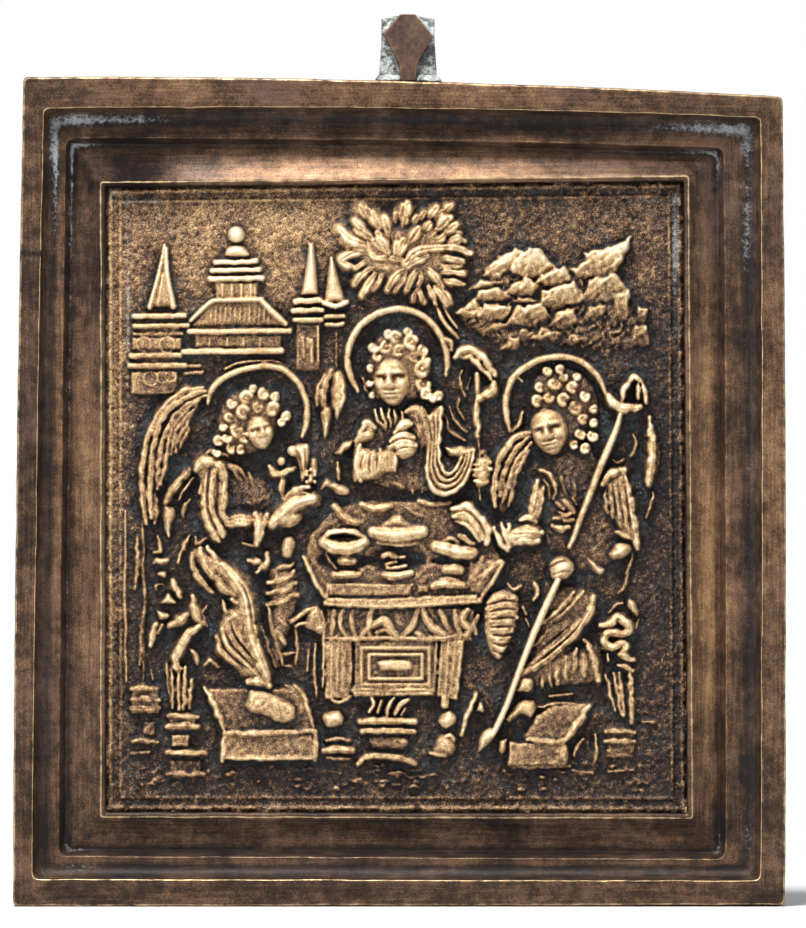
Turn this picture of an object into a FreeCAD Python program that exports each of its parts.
# A small cast bronze icon that hangs from an eye: a stepped frame, a relief plaque set in its back,
# the solder that holds the plaque, and a hanging eye brazed into the frame's top edge.
# X runs along the width, Z up, and the relief faces -Y. The origin is the centre of the eye's bore.
# Depths are measured forward from the icon's back plane.
import FreeCAD
import Part
import math
import os
from FreeCAD import Vector

# Frame outline
plate_width = 59.3
plate_height = 63.7
frame_depth = 5.0
top_bow = 0.45
side_bow = 0.15
edge_wear = 0.25

# Frame section, from the outer edge inwards
rim_width = 1.8
cove_width = 1.0
cove_drop = 1.55
ledge_reach = 3.9
trough_width = 0.45
trough_depth = 2.35
border_width = 7.0
crest_width = 0.3
crest_depth = 3.6
crest_fall = 0.12
slope_hollow = 0.12

# Plaque and its seat
seat_depth = 2.1
field_depth = 2.5
flange_width = 1.3
plaque_thickness = 1.1
plaque_clearance = 0.08
border_ridge_width = 0.32
border_ridge_height = 0.3
border_slope_share = 0.25
outer_ridge_inset = 0.12
inner_ridge_inset = 0.95
relief_height = 1.9
slab_bevel = 0.16

# Solder behind the plaque
solder_width = 0.9
solder_height = 0.7

# Hanging eye and its braze
bore_radius = 1.15
eye_radius = 2.0
eye_width = 4.1
eye_crown = 0.3
eye_above_plate = 2.8
foot_width = 4.5
foot_depth = 3.4
neck_depth = 3.0
foot_sink = 1.2
foot_clearance = 0.05
facet_front = 2.3
facet_root = 1.2
facet_draft_share = 0.18
facet_shares = ((-0.32, -0.92), (-0.9, 0.24), (-0.28, 1.0), (0.28, 1.0), (0.92, 0.16), (0.33, -0.92))
facet_stem_shares = (0.3, -0.26)
braze_width = 0.35
braze_height = 0.5

# What a cut runs past a face, and how far four points may stray from one plane
overrun = 1.0
flatness = 1e-7

# Corners in the order top left, top right, bottom right, bottom left
outline_shares = ((0.0137, 1.0), (0.9968, 0.9765), (1.0, 0.0013), (0.0, 0.0))
rim_shares = ((0.87, 1.34), (0.94, 0.89), (1.05, 1.04), (0.83, 1.16))
ledge_shares = ((0.83, 1.20), (1.15, 1.0), (1.16, 0.90), (0.90, 0.98))
border_shares = ((0.85, 1.16), (1.035, 0.88), (1.02, 0.957), (0.968, 0.98))
inward = ((1, -1), (-1, -1), (-1, 1), (1, 1))
eye_place_share = 0.5117

# The side bows of a ring fade from the outline to the crest
rim_bow_share = 0.8
ledge_bow_share = 0.5
cove_steps = 4

plate_left = -plate_width * eye_place_share
plate_bottom = -eye_above_plate - plate_height
back = frame_depth / 2


# Rings: four corners and the outward bows of the top, right, bottom and left sides

def outline_ring():
    corners = [(plate_left + plate_width * a, plate_bottom + plate_height * b) for a, b in outline_shares]
    return corners, (top_bow, side_bow, 0.0, side_bow)


def inset(ring, reach, corner_shares=((1, 1),) * 4, bow_share=1.0):
    corners = []
    for (x, z), (toward_x, toward_z), (share_x, share_z) in zip(ring[0], inward, corner_shares):
        corners.append((x + toward_x * reach * share_x, z + toward_z * reach * share_z))
    return corners, tuple(bow * bow_share for bow in ring[1])


def mix(first, second, share):
    corners = [tuple(a + (b - a) * share for a, b in zip(p, q)) for p, q in zip(first[0], second[0])]
    return corners, tuple(a + (b - a) * share for a, b in zip(first[1], second[1]))


def side(start, end, bow):
    if not bow:
        return Part.LineSegment(start, end).toShape()
    along = end - start
    outward = Vector(-along.z, 0, along.x).normalize()
    return Part.Arc(start, (start + end) * 0.5 + outward * bow, end).toShape()


def ring_wire(ring, depth):
    points = [Vector(x, back - depth, z) for x, z in ring[0]]
    return Part.Wire([side(points[k], points[(k + 1) % 4], ring[1][k]) for k in range(4)])


def through(steps):
    return Part.makeLoft([ring_wire(ring, depth) for ring, depth in steps], True, True)


outline = outline_ring()
rim = inset(outline, rim_width, rim_shares, rim_bow_share)
ledge = inset(outline, ledge_reach, ledge_shares, ledge_bow_share)
crest = inset(outline, border_width, border_shares, 0.0)
opening = inset(crest, crest_width)
rebate = inset(crest, -flange_width)
seat = inset(rebate, plaque_clearance)
field = inset(opening, plaque_clearance)

field_left = (crest[0][0][0] + crest[0][3][0]) / 2
field_right = (crest[0][1][0] + crest[0][2][0]) / 2
field_top = (crest[0][0][1] + crest[0][1][1]) / 2
field_bottom = (crest[0][2][1] + crest[0][3][1]) / 2
field_width = field_right - field_left
field_height = field_top - field_bottom
plaque_back = seat_depth - plaque_thickness
ledge_depth = frame_depth - cove_drop


# Frame

def frame_hollow():
    cove_foot = inset(rim, cove_width)
    steps = [(rim, frame_depth + overrun)]
    for k in range(cove_steps + 1):
        turn = math.pi / 2 * k / cove_steps
        steps.append((mix(rim, cove_foot, 1 - math.cos(turn)), frame_depth - cove_drop * math.sin(turn)))
    trough = inset(ledge, trough_width)
    middle = mix(trough, crest, 0.5)
    steps.append((ledge, ledge_depth))
    steps.append((trough, trough_depth))
    steps.append((middle, (trough_depth + crest_depth) / 2 - slope_hollow))
    steps.append((crest, crest_depth))
    steps.append((opening, crest_depth - crest_fall))
    steps.append((opening, -overrun))
    return through(steps)


def frame_solid():
    worn = inset(outline, edge_wear)
    block = through([(outline, 0), (outline, frame_depth - edge_wear), (worn, frame_depth)])
    recess = through([(rebate, -overrun), (rebate, seat_depth)])
    return block.cut([frame_hollow(), recess, foot_block(foot_clearance)])


# Hanging eye

def top_edge_height():
    left, right = outline[0][0], outline[0][1]
    share = -left[0] / (right[0] - left[0])
    return left[1] + (right[1] - left[1]) * share + top_bow


def foot_block(clearance=0.0):
    size_x = foot_width + 2 * clearance
    size_y = foot_depth + 2 * clearance
    low = top_edge_height() - foot_sink
    height = foot_sink + (overrun if clearance else 0)
    return Part.makeBox(size_x, size_y, height, Vector(-size_x / 2, -size_y / 2, low))


def rectangle(size_x, size_y, z):
    a, b = size_x / 2, size_y / 2
    points = [Vector(x, y, z) for x, y in ((-a, -b), (a, -b), (a, b), (-a, b), (-a, -b))]
    return Part.makePolygon(points)


def eye_barrel():
    half = eye_width / 2
    rim_radius = eye_radius - eye_crown
    arc = Part.Arc(Vector(-half, 0, rim_radius), Vector(0, 0, eye_radius), Vector(half, 0, rim_radius))
    corners = ((half, rim_radius), (half, 0), (-half, 0), (-half, rim_radius))
    sides = Part.makePolygon([Vector(x, 0, z) for x, z in corners]).Edges
    face = Part.Face(Part.Wire([arc.toShape()] + sides))
    return face.revolve(Vector(0, 0, 0), Vector(1, 0, 0), 360)


def front_facet():
    half = eye_width / 2
    low = top_edge_height()
    spread = 1 + (facet_front - facet_root) * facet_draft_share / half
    sections = []
    for y, grow in ((-facet_front, 1), (-facet_root, spread)):
        kite = [Vector(a * half * grow, y, b * eye_radius) for a, b in facet_shares]
        stem = [Vector(a * half * grow, y, low) for a in facet_stem_shares]
        sections.append(Part.makePolygon(kite + stem + kite[:1]))
    return Part.makeLoft(sections, True, True)


def eye_solid():
    low = top_edge_height()
    sections = [rectangle(foot_width, foot_depth, low), rectangle(eye_width, neck_depth, 0)]
    neck = Part.makeLoft(sections, True, True)
    body = neck.fuse([eye_barrel(), front_facet(), foot_block()]).removeSplitter()
    reach = eye_width / 2 + eye_crown
    bore = Part.makeCylinder(bore_radius, 2 * reach, Vector(-reach, 0, 0), Vector(1, 0, 0))
    return body.cut(bore)


def braze_solid(frame, eye):
    low = top_edge_height()
    wide = 2 * braze_width
    collar = Part.makeLoft([rectangle(foot_width + wide, foot_depth + wide, low - foot_sink),
                            rectangle(foot_width + wide, foot_depth + wide, low),
                            rectangle(foot_width, foot_depth, low + braze_height)], True, True)
    return collar.cut([frame, eye])


# Solder

def solder_solid():
    inner = inset(rebate, solder_width)
    block = through([(rebate, plaque_back), (rebate, plaque_back - solder_height)])
    hole = through([(inner, plaque_back), (rebate, plaque_back - solder_height)])
    return block.cut(hole)


# Relief helpers: places are thousandths of the picture field, heights are thousandths of the relief

per_mille = 0.001
root_share = 0.3
mound_shoulder_share = (0.92, 0.6)
section_sides = 5
dome_steps = 3
dome_sides = 14


def place(u, v, height=0.0):
    x = field_left + u * per_mille * field_width
    z = field_bottom + v * per_mille * field_height
    return Vector(x, back - field_depth - height, z)


def flat_faces(corners):
    a, b, c, d = corners
    normal = (b - a).cross(c - a)
    if normal.Length and abs(normal.normalize().dot(d - a)) < flatness:
        return [Part.Face(Part.makePolygon([a, b, c, d, a]))]
    return [Part.Face(Part.makePolygon([a, b, c, a])), Part.Face(Part.makePolygon([a, c, d, a]))]


def skinned(sections):
    # A solid through closed rings of points: each ring has as many points, and the first and last are flat
    faces = [Part.Face(Part.makePolygon(ring + ring[:1])) for ring in (sections[0], sections[-1])]
    for near, far in zip(sections, sections[1:]):
        for k in range(len(near)):
            after = (k + 1) % len(near)
            faces += flat_faces((near[k], near[after], far[after], far[k]))
    solid = Part.Solid(Part.Shell(faces))
    if solid.Volume < 0:
        solid.reverse()
    return solid


def half_round(centre, across, width, height):
    root = height * root_share
    points = []
    for k in range(section_sides + 1):
        turn = math.pi * k / section_sides
        rise = (height + root) * math.sin(turn) - root
        points.append(centre + across * (width / 2 * math.cos(turn)) + Vector(0, -rise, 0))
    return points


def ridge(stations):
    centres = [place(u, v) for u, v, width, height in stations]
    sections = []
    for k, (u, v, width, height) in enumerate(stations):
        along = centres[min(k + 1, len(centres) - 1)] - centres[max(k - 1, 0)]
        across = Vector(-along.z, 0, along.x).normalize()
        wide = width * per_mille * field_width
        tall = height * per_mille * relief_height
        sections.append(half_round(centres[k], across, wide, tall))
    return skinned(sections)


def layers(outline_points, height, levels):
    tall = height * per_mille * relief_height
    flat = [place(u, v) for u, v in outline_points]
    middle = Vector(0, 0, 0)
    for point in flat:
        middle = middle + point * (1 / len(flat))
    sections = []
    for share, level in levels:
        sections.append([middle + (point - middle) * share + Vector(0, -tall * level, 0) for point in flat])
    return skinned(sections)


def mound(outline_points, height, crown_share):
    return layers(outline_points, height, ((1.0, -root_share), mound_shoulder_share, (crown_share, 1.0)))


def block(outline_points, height, crown_share):
    return layers(outline_points, height, ((1.0, -root_share), (crown_share, 1.0)))


def shrunk(points, reach):
    # The same outline with each side moved in by one distance; the points run one way round
    middle = Vector(0, 0, 0)
    for point in points:
        middle = middle + point * (1 / len(points))
    moved = []
    for k, point in enumerate(points):
        before = (point - points[k - 1]).normalize()
        after = (points[(k + 1) % len(points)] - point).normalize()
        inward_way = Vector(-before.z - after.z, 0, before.x + after.x).normalize()
        if inward_way.dot(middle - point) < 0:
            inward_way = inward_way * -1
        half_turn = abs(inward_way.cross(after).y)
        moved.append(point + inward_way * (reach / half_turn))
    return moved


def slab(outline_points, height):
    tall = height * per_mille * relief_height
    flat = [place(u, v) for u, v in outline_points]
    root = [point + Vector(0, tall * root_share, 0) for point in flat]
    top = [point + Vector(0, -tall, 0) for point in shrunk(flat, slab_bevel)]
    side_height = max(tall - slab_bevel, tall / 2)
    shoulder = [point + Vector(0, -side_height, 0) for point in flat]
    return skinned([root, shoulder, top])


def upright(left, right, low, high):
    return ((left, low), (right, low), (right, high), (left, high))


def turned(profile, at):
    points = [Vector(radius, -forward, 0) for radius, forward in profile]
    face = Part.Face(Part.makePolygon(points + points[:1]))
    solid = face.revolve(Vector(0, 0, 0), Vector(0, 1, 0), 360)
    solid.translate(at)
    return solid


def circle_points(u, v, radius, sides):
    turns = [2 * math.pi * k / sides for k in range(sides)]
    aspect = field_width / field_height
    return [(u + radius * math.cos(turn), v + radius * aspect * math.sin(turn)) for turn in turns]


def dome(u, v, radius, height):
    levels = [(1.0, -root_share)]
    for k in range(dome_steps):
        turn = math.pi / 2 * (k + 0.5) / dome_steps
        levels.append((math.cos(turn), math.sin(turn)))
    return layers(circle_points(u, v, radius, dome_sides), height, levels)


def moulding(left, right, v, width, height):
    return ridge(((left, v, width, height), (right, v, width, height)))


# Relief tables, in the order of the picture: town, tree and hill, figures, table, stools and posts

moulding_shares = (
    (56, 141, 786, 11, 330), (56, 146, 771, 10, 320), (56, 137, 758, 8, 260),
    (50, 133, 723, 11, 330), (48, 141, 707, 11, 340),
    (193, 264, 871, 9, 380), (188, 269, 858, 9, 390), (184, 274, 845, 10, 400),
    (148, 322, 763, 10, 420), (140, 306, 731, 10, 380),
    (329, 372, 810, 11, 420), (325, 377, 794, 10, 400), (329, 375, 780, 10, 380),
    (382, 412, 786, 9, 330), (382, 412, 772, 8, 300),
    (50, 96, 200, 10, 260), (50, 100, 183, 10, 250), (50, 98, 168, 9, 240), (50, 96, 117, 10, 240),
    (112, 165, 157, 11, 300), (112, 165, 142, 11, 300), (112, 176, 100, 11, 280), (112, 170, 67, 10, 260),
    (858, 903, 133, 10, 280), (858, 905, 118, 10, 280), (858, 905, 97, 9, 240),
    (440, 531, 150, 11, 340), (443, 529, 135, 10, 330), (436, 536, 90, 14, 340),
    (376, 426, 106, 13, 330),
)
low_wall_shares = (
    upright(58, 130, 732, 752), upright(56, 124, 664, 700), upright(193, 266, 814, 840),
    upright(160, 314, 737, 757), upright(332, 370, 702, 774), upright(118, 152, 108, 134),
    upright(60, 92, 128, 160), upright(864, 900, 145, 160), upright(458, 516, 104, 128),
)
spire_shares = (
    ((102, 797, 47, 420), (107, 850, 24, 340), (109, 899, 5, 160)),
    ((354, 816, 36, 480), (357, 860, 23, 420), (358, 901, 14, 300)),
    ((397, 804, 43, 440), (394, 842, 28, 380), (391, 880, 13, 260)),
)
wall_height_share = 220
roof_shares = ((150, 771), (186, 808), (272, 811), (314, 771))
roof_height_share = 340
cupola_shares = ((229, 914, 14, 430), (230, 888, 21, 420))
hill_shares = (
    ((697, 860), (713, 880), (742, 888), (765, 858), (740, 848)),
    ((652, 852), (668, 866), (706, 888), (694, 868), (676, 846)),
    ((683, 820), (700, 832), (722, 843), (738, 832), (726, 818)),
    ((736, 832), (745, 850), (786, 860), (792, 842), (770, 832)),
    ((748, 806), (752, 822), (798, 836), (818, 812), (770, 797)),
    ((638, 810), (644, 824), (672, 827), (692, 812)),
    ((603, 792), (632, 810), (652, 788), (622, 783)),
    ((640, 788), (656, 802), (692, 799), (686, 783)),
    ((694, 776), (710, 798), (746, 802), (758, 786), (736, 770)),
    ((762, 773), (776, 792), (800, 795), (806, 778), (786, 768)),
    ((818, 812), (832, 840), (868, 846), (890, 828), (866, 806)),
    ((824, 852), (826, 884), (866, 891), (894, 903), (862, 846)),
    ((796, 858), (826, 870), (828, 852), (812, 846)),
    ((866, 776), (874, 820), (896, 822), (894, 782)),
    ((680, 736), (696, 752), (710, 748), (704, 736)),
    ((730, 752), (750, 766), (778, 758), (768, 748)),
)
hill_height_shares = (360, 420, 480)
hill_crown_share = 0.45
trunk_shares = ((574, 806, 15, 300), (583, 780, 14, 330), (604, 752, 22, 300))
crown_place_share = (513, 881)
crown_mound_share = 62
crown_mound_height_share = 330
crown_flatness_share = 0.82
crown_spread_share = 0.12
leaf_ring_shares = ((15, 42, 102, 38), (9, 4, 62, 36))
leaf_height_share = 560
leaf_crown_share = 0.35

halo_shares = ((266, 627, 85), (506, 710, 91), (780, 646, 87))
halo_width_share = 10
halo_height_share = 640
dish_share = 0.9
dish_height_share = 0.12

wing_shares = (
    ((177, 668), (148, 665), (112, 645), (84, 602), (68, 545), (76, 470), (92, 470),
     (112, 520), (128, 575), (160, 640)),
    ((398, 704), (378, 685), (368, 640), (376, 592), (390, 630), (402, 628), (420, 655), (414, 692)),
    ((728, 594), (700, 600), (674, 568), (666, 520), (672, 488), (694, 515), (712, 552)),
)
wing_height_share = 420
feather_shares = (
    ((172, 664, 14, 620), (132, 642, 16, 640), (98, 595, 14, 560), (80, 540, 10, 420), (78, 480, 6, 300)),
    ((168, 652, 10, 560), (128, 612, 14, 540), (108, 560, 11, 440), (98, 505, 7, 300)),
    ((398, 700, 10, 520), (386, 665, 14, 560), (380, 610, 8, 360)),
    ((402, 694, 12, 600), (406, 662, 16, 620), (402, 632, 8, 420)),
    ((720, 594, 14, 560), (694, 574, 16, 560), (678, 532, 12, 460), (674, 495, 7, 300)),
    ((602, 722, 9, 560), (634, 729, 14, 640), (660, 703, 13, 600), (662, 672, 9, 500)),
)

figure_shares = (
    # Seated at the left
    ((160, 548), (186, 560), (214, 552), (250, 520), (262, 472), (258, 430), (228, 400),
     (180, 410), (158, 440), (166, 500)),
    ((176, 418), (232, 402), (252, 345), (268, 280), (287, 222), (262, 206), (214, 250),
     (196, 300), (200, 352), (168, 385)),
    # Seated behind the table
    ((452, 640), (500, 648), (556, 640), (600, 590), (628, 540), (596, 508), (500, 502),
     (430, 520), (426, 580)),
    # Seated at the right
    ((724, 560), (760, 580), (830, 570), (880, 545), (890, 470), (850, 400), (780, 380),
     (744, 430), (730, 500)),
    ((752, 372), (842, 372), (860, 300), (846, 226), (790, 208), (706, 206), (700, 262), (716, 330)),
)
figure_heights_share = (520, 640, 600, 560, 600)
broad_crown_share = 0.6
small_crown_share = 0.5

drape_shares = (
    # Left figure: sleeve, forearm, cuff, thigh and the robe's falling folds
    ((176, 556, 16, 560), (194, 532, 34, 800), (200, 490, 34, 860), (214, 462, 30, 860), (262, 464, 24, 820)),
    ((252, 462, 26, 820), (300, 470, 30, 900), (338, 492, 30, 860), (362, 502, 14, 700)),
    ((276, 480, 14, 740), (272, 456, 18, 800), (264, 428, 10, 600)),
    ((176, 416, 10, 560), (212, 384, 24, 840), (244, 350, 26, 900), (258, 296, 24, 820), (284, 226, 16, 700)),
    ((214, 324, 12, 620), (228, 284, 20, 760), (262, 240, 20, 740), (284, 212, 10, 620)),
    ((206, 300, 10, 560), (216, 268, 18, 660), (248, 236, 16, 660)),
    ((162, 296, 8, 420), (138, 270, 13, 560), (128, 234, 12, 480)),
    ((146, 268, 9, 440), (162, 258, 13, 500), (168, 232, 8, 400)),
    ((120, 224, 8, 360), (122, 172, 10, 420)),
    ((140, 222, 8, 380), (140, 172, 9, 420)),
    ((132, 542, 9, 380), (116, 500, 15, 480), (110, 440, 12, 420)),
    # Middle figure: sleeve, cuff, shoulder, the folds and the hanging sling of the cloak
    ((456, 622, 22, 640), (440, 590, 30, 800), (438, 552, 30, 820), (450, 532, 20, 700)),
    ((446, 548, 34, 820), (474, 552, 44, 900), (498, 556, 24, 840)),
    ((530, 638, 12, 640), (542, 612, 20, 740), (546, 578, 14, 660)),
    ((566, 644, 16, 700), (568, 600, 20, 800), (561, 552, 22, 820), (572, 520, 24, 820),
     (604, 528, 24, 820), (630, 574, 14, 700)),
    ((574, 575, 10, 600), (602, 574, 14, 660), (630, 576, 12, 640)),
    # Right figure: shoulder, forearm, wrist and cuff, hanging sleeve and the robe's folds
    ((738, 542, 14, 600), (734, 506, 22, 760), (738, 474, 24, 780)),
    ((744, 456, 26, 800), (706, 444, 38, 880), (668, 442, 26, 820)),
    ((856, 526, 10, 560), (874, 546, 20, 760), (888, 520, 28, 860), (894, 474, 34, 880), (898, 428, 24, 760)),
    ((868, 510, 8, 760), (862, 478, 12, 800)),
    ((804, 350, 9, 700), (780, 320, 13, 780), (750, 306, 9, 700)),
    ((836, 345, 9, 660), (806, 286, 15, 800), (756, 254, 18, 820), (714, 224, 16, 740)),
    ((818, 272, 8, 600), (836, 248, 13, 680), (844, 222, 8, 600)),
    ((764, 538, 8, 640), (790, 500, 12, 720), (800, 440, 9, 640)),
    ((728, 372, 10, 560), (722, 320, 18, 700), (734, 250, 14, 680)),
    # Chests and collars
    ((188, 548, 9, 640), (222, 520, 12, 700), (246, 476, 9, 640)),
    ((470, 636, 9, 680), (488, 616, 12, 740), (512, 630, 9, 680)),
    ((192, 402, 10, 620), (224, 352, 18, 780), (236, 316, 10, 700)),
    ((700, 350, 12, 500), (676, 330, 30, 640), (672, 290, 30, 640), (672, 256, 10, 460)),
)
hem_fold_shares = ((756, 230, 206), (772, 232, 208), (789, 262, 220), (806, 268, 222), (822, 258, 222))
hem_fold_width_share = 9
hem_fold_height_share = 620
hem_foot_height_share = 560

hand_shares = (
    ((330, 578), (350, 586), (356, 560), (350, 535), (340, 527), (332, 545)),
    ((492, 588), (506, 614), (528, 618), (541, 588), (530, 565), (508, 560)),
    ((640, 556), (661, 555), (662, 538), (652, 523), (638, 526), (632, 540)),
    ((596, 486), (618, 495), (642, 478), (662, 448), (654, 430), (636, 446), (614, 466)),
    ((762, 386), (770, 404), (798, 408), (804, 392), (782, 372), (766, 374)),
    ((866, 668), (886, 690), (916, 686), (928, 660), (914, 640), (880, 642)),
)
hand_heights_share = (620, 900, 760, 800, 940, 520)
foot_shares = (
    ((243, 170), (260, 197), (280, 184), (318, 172), (340, 160), (300, 147)),
    ((682, 152), (694, 174), (722, 184), (738, 168), (732, 153), (706, 150)),
)
foot_height_share = 640
staff_shares = (
    ((884, 642, 10, 700), (850, 572, 12, 820), (796, 428, 12, 820)),
    ((772, 372, 13, 820), (706, 220, 15, 760), (664, 128, 14, 700)),
    ((662, 134, 18, 620), (652, 112, 24, 640), (641, 98, 10, 480)),
    ((640, 694, 11, 520), (640, 628, 11, 520), (641, 556, 9, 460)),
    ((642, 524, 12, 440), (642, 500, 10, 400)),
    ((931, 626, 12, 420), (938, 575, 18, 520), (930, 522, 8, 380)),
)
head_shares = ((254, 590, 35), (498, 682, 36), (762, 610, 36))
head_height_share = 860
hair_height_share = 640
hair_lift_share = 0.28
hair_spread_share = 1.3
curl_reach_share = 1.02
curl_size_share = 0.34
curl_height_share = 800
curl_sides = 6
curl_crown_share = 0.5
curls = 7
curl_turns_share = ((-20, 190), (-60, 150), (-30, 175))

table_top_places_share = ((346, 404), (398, 484), (444, 494), (560, 496), (624, 494),
                          (680, 404), (640, 332), (384, 332))
table_edge_places_share = ((378, 362), (536, 364), (620, 346), (650, 346), (640, 331), (380, 329))
table_front_places_share = upright(428, 566, 190, 276)
post_left_places_share = ((372, 184), (376, 276), (430, 276), (424, 184))
post_right_places_share = ((572, 178), (562, 276), (618, 276), (598, 178))
table_shares = (
    (table_top_places_share, 480), (table_edge_places_share, 760), (table_front_places_share, 480),
    (post_left_places_share, 580), (post_right_places_share, 580),
)
nested_panel_shares = ((436, 560, 204, 264), (450, 546, 211, 257), (464, 532, 220, 248))
nested_panel_height_share = 580
nested_panel_step_share = 110
fringe_left_share = 384
fringe_right_share = 628
fringe_top_share = 326
fringe_drop_share = 46
swags = 6
fringe_height_share = 420
swag_height_share = 640
swag_crown_share = 0.5

# Cups: place of the foot, width and height, then how the width changes up the height
vessel_shares = ((415, 372, 75, 76), (503, 372, 84, 100), (594, 356, 70, 72))
cup_profile_shares = ((0.0, 0.62), (0.14, 0.66), (0.24, 0.26), (0.36, 0.44), (0.48, 0.22),
                      (0.68, 0.86), (0.9, 1.0), (1.0, 0.8))
cup_height_share = 560
cup_swell_share = 340

ball_foot_shares = ((393, 153, 19, 620), (586, 152, 17, 600))
stool_shares = (
    (((175, 203), (208, 130), (362, 132), (344, 200)), ((204, 88), (210, 131), (364, 134), (358, 88))),
    (((700, 178), (700, 116), (780, 118), (826, 172)), ((690, 84), (698, 116), (782, 118), (796, 84))),
)
seat_height_share = 380
seat_front_height_share = 600
column_shares = (
    ((872, 226, 9, 360), (880, 152, 10, 380)),
    ((886, 226, 9, 360), (893, 152, 10, 380)),
)
shrub_shares = (
    ((852, 312, 14, 420), (884, 318, 16, 480), (896, 290, 14, 460), (862, 284, 12, 440)),
    ((858, 272, 12, 420), (890, 268, 14, 440), (896, 250, 12, 380)),
    ((896, 345, 12, 400), (908, 318, 16, 460), (904, 298, 12, 400)),
    ((88, 405, 12, 360), (108, 400, 16, 420), (98, 384, 12, 380)),
    ((96, 338, 14, 420), (116, 348, 22, 480), (126, 336, 12, 400)),
    ((92, 306, 12, 380), (104, 322, 26, 460), (116, 312, 14, 400)),
)


# Plaque

def border_ridge(inset_width):
    outer = inset(field, inset_width)
    inner = inset(outer, border_ridge_width)
    slope = border_ridge_width * border_slope_share
    top = field_depth + border_ridge_height
    worn = inset(outer, slope)
    body = through([(outer, plaque_back + plaque_thickness), (outer, field_depth), (worn, top)])
    hole = through([(inner, plaque_back), (inner, field_depth), (inset(inner, -slope), top + overrun)])
    return body.cut(hole)


def town():
    parts = [moulding(*row) for row in moulding_shares]
    parts += [slab(row, wall_height_share) for row in low_wall_shares]
    parts += [ridge(row) for row in spire_shares]
    parts.append(slab(roof_shares, roof_height_share))
    parts += [dome(*row) for row in cupola_shares]
    return parts


def leaf(u, v, turn, inner, outer, wide):
    outline_points = []
    middle = (inner + outer) / 2
    along, across = math.cos(turn), math.sin(turn)
    for radius, side_step in ((inner, 0), (middle, wide / 2), (outer, 0), (middle, -wide / 2)):
        outline_points.append((u + radius * along - side_step * across,
                               v + crown_flatness_share * (radius * across + side_step * along)))
    return block(outline_points, leaf_height_share, leaf_crown_share)


def crown():
    u, v = crown_place_share
    parts = [dome(u, v, crown_mound_share, crown_mound_height_share)]
    for leaves, inner, outer, wide in leaf_ring_shares:
        for k in range(leaves):
            turn = 2 * math.pi * (k + 0.25 * (leaves % 2)) / leaves
            reach = 1 + crown_spread_share * math.cos(2 * turn)
            parts.append(leaf(u, v, turn, inner * reach, outer * reach, wide))
    parts.append(ridge(trunk_shares))
    return parts


def hill():
    parts = []
    for k, row in enumerate(hill_shares):
        rise = hill_height_shares[k % len(hill_height_shares)]
        parts.append(block(row, rise, hill_crown_share))
    return parts


def halo(u, v, radius):
    size = radius * per_mille * field_width
    half = halo_width_share * per_mille * field_width / 2
    tall = halo_height_share * per_mille * relief_height
    low = tall * dish_height_share
    profile = [(0, low), (0, -tall * root_share), (size + half, -tall * root_share)]
    profile += [(size + half, tall - half), (size + half / 2, tall), (size - half / 2, tall)]
    profile.append((size * dish_share, low))
    return turned(profile, place(u, v))


def curl(u, v, radius, height):
    return block(circle_points(u, v, radius, curl_sides), height, curl_crown_share)


def head(u, v, radius, turns):
    low, high = turns
    parts = [dome(u, v, radius, head_height_share),
             dome(u, v + radius * hair_lift_share, radius * hair_spread_share, hair_height_share)]
    for k in range(curls):
        turn = math.radians(low + (high - low) * k / (curls - 1))
        reach = radius * curl_reach_share
        parts.append(curl(u + reach * math.cos(turn), v + radius * hair_lift_share + reach * math.sin(turn),
                          radius * curl_size_share, curl_height_share))
    return parts


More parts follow.
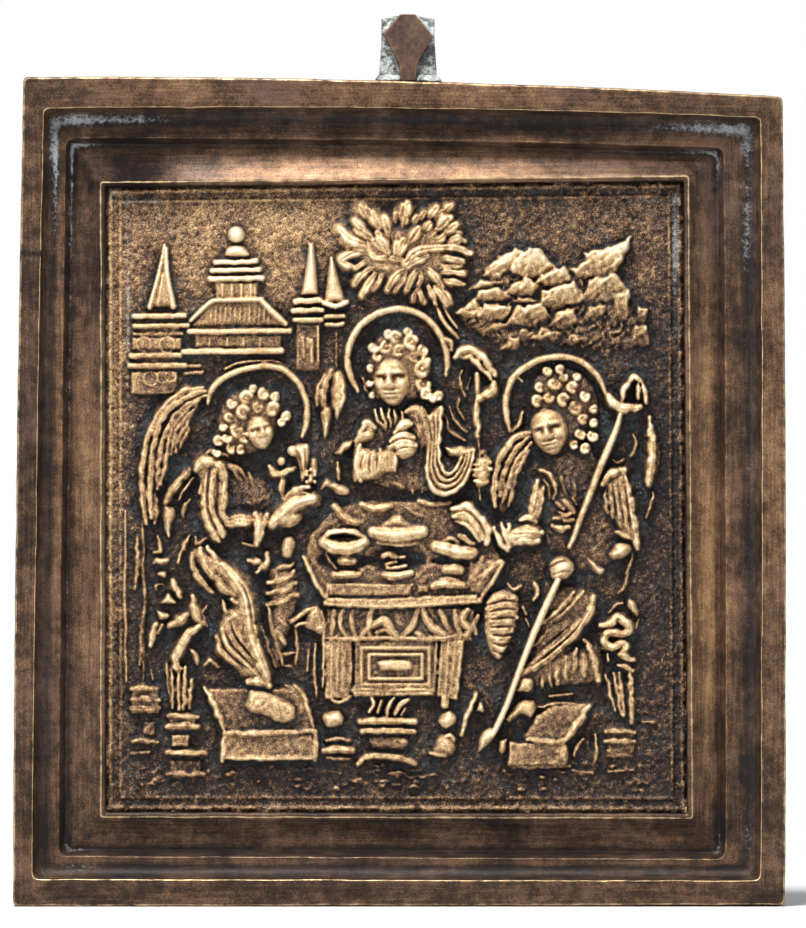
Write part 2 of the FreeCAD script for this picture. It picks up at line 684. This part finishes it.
def figures():
    parts = [halo(*row) for row in halo_shares]
    parts += [mound(row, wing_height_share, broad_crown_share) for row in wing_shares]
    parts += [ridge(row) for row in feather_shares]
    for row, height in zip(figure_shares, figure_heights_share):
        parts.append(mound(row, height, broad_crown_share))
    parts += [ridge(row) for row in drape_shares]
    for row, height in zip(hand_shares, hand_heights_share):
        parts.append(mound(row, height, small_crown_share))
    parts += [mound(row, foot_height_share, small_crown_share) for row in foot_shares]
    parts += [ridge(row) for row in staff_shares]
    for u, high, low in hem_fold_shares:
        parts.append(ridge(((u, high, hem_fold_width_share, hem_fold_height_share),
                            (u, low, hem_fold_width_share, hem_foot_height_share))))
    for row, turns in zip(head_shares, curl_turns_share):
        parts += head(*row, turns)
    return parts


def vessel(u, v, width, height):
    stations = []
    for up, swell in cup_profile_shares:
        stations.append((u, v + height * up, width * swell, cup_height_share + cup_swell_share * swell))
    return ridge(stations)


def fringe():
    step = (fringe_right_share - fringe_left_share) / swags
    low = fringe_top_share - fringe_drop_share
    band = upright(fringe_left_share, fringe_right_share, low + fringe_drop_share / 3, fringe_top_share)
    parts = [slab(band, fringe_height_share)]
    for k in range(swags):
        left = fringe_left_share + step * k
        swag = ((left, fringe_top_share), (left + step / 2, low), (left + step, fringe_top_share))
        parts.append(block(swag, swag_height_share, swag_crown_share))
    return parts


def table():
    parts = [slab(outline_points, height) for outline_points, height in table_shares]
    for k, row in enumerate(nested_panel_shares):
        parts.append(slab(upright(*row), nested_panel_height_share + k * nested_panel_step_share))
    parts += fringe()
    parts += [vessel(*row) for row in vessel_shares]
    parts += [dome(*row) for row in ball_foot_shares]
    return parts


def furniture():
    parts = []
    for top, front in stool_shares:
        parts.append(slab(top, seat_height_share))
        parts.append(slab(front, seat_front_height_share))
    parts += [ridge(row) for row in column_shares + shrub_shares]
    return parts


def plaque_solid():
    flange = through([(seat, plaque_back), (seat, seat_depth)])
    raised = through([(field, plaque_back), (field, field_depth)])
    solid = flange.fuse([raised, border_ridge(outer_ridge_inset), border_ridge(inner_ridge_inset)])
    for group in (town(), crown(), hill(), figures(), table(), furniture()):
        solid = solid.fuse(group[0].multiFuse(group[1:]))
    return solid.removeSplitter()


def write(name, shape):
    shape.exportStep(os.path.join("parts", name + ".step"))


def main():
    os.makedirs("parts", exist_ok=True)
    frame = frame_solid()
    eye = eye_solid()
    write("frame", frame)
    write("relief_panel", plaque_solid())
    write("panel_solder", solder_solid())
    write("hanging_loop", eye)
    write("loop_braze", braze_solid(frame, eye))


if __name__ == "__main__":
    main()
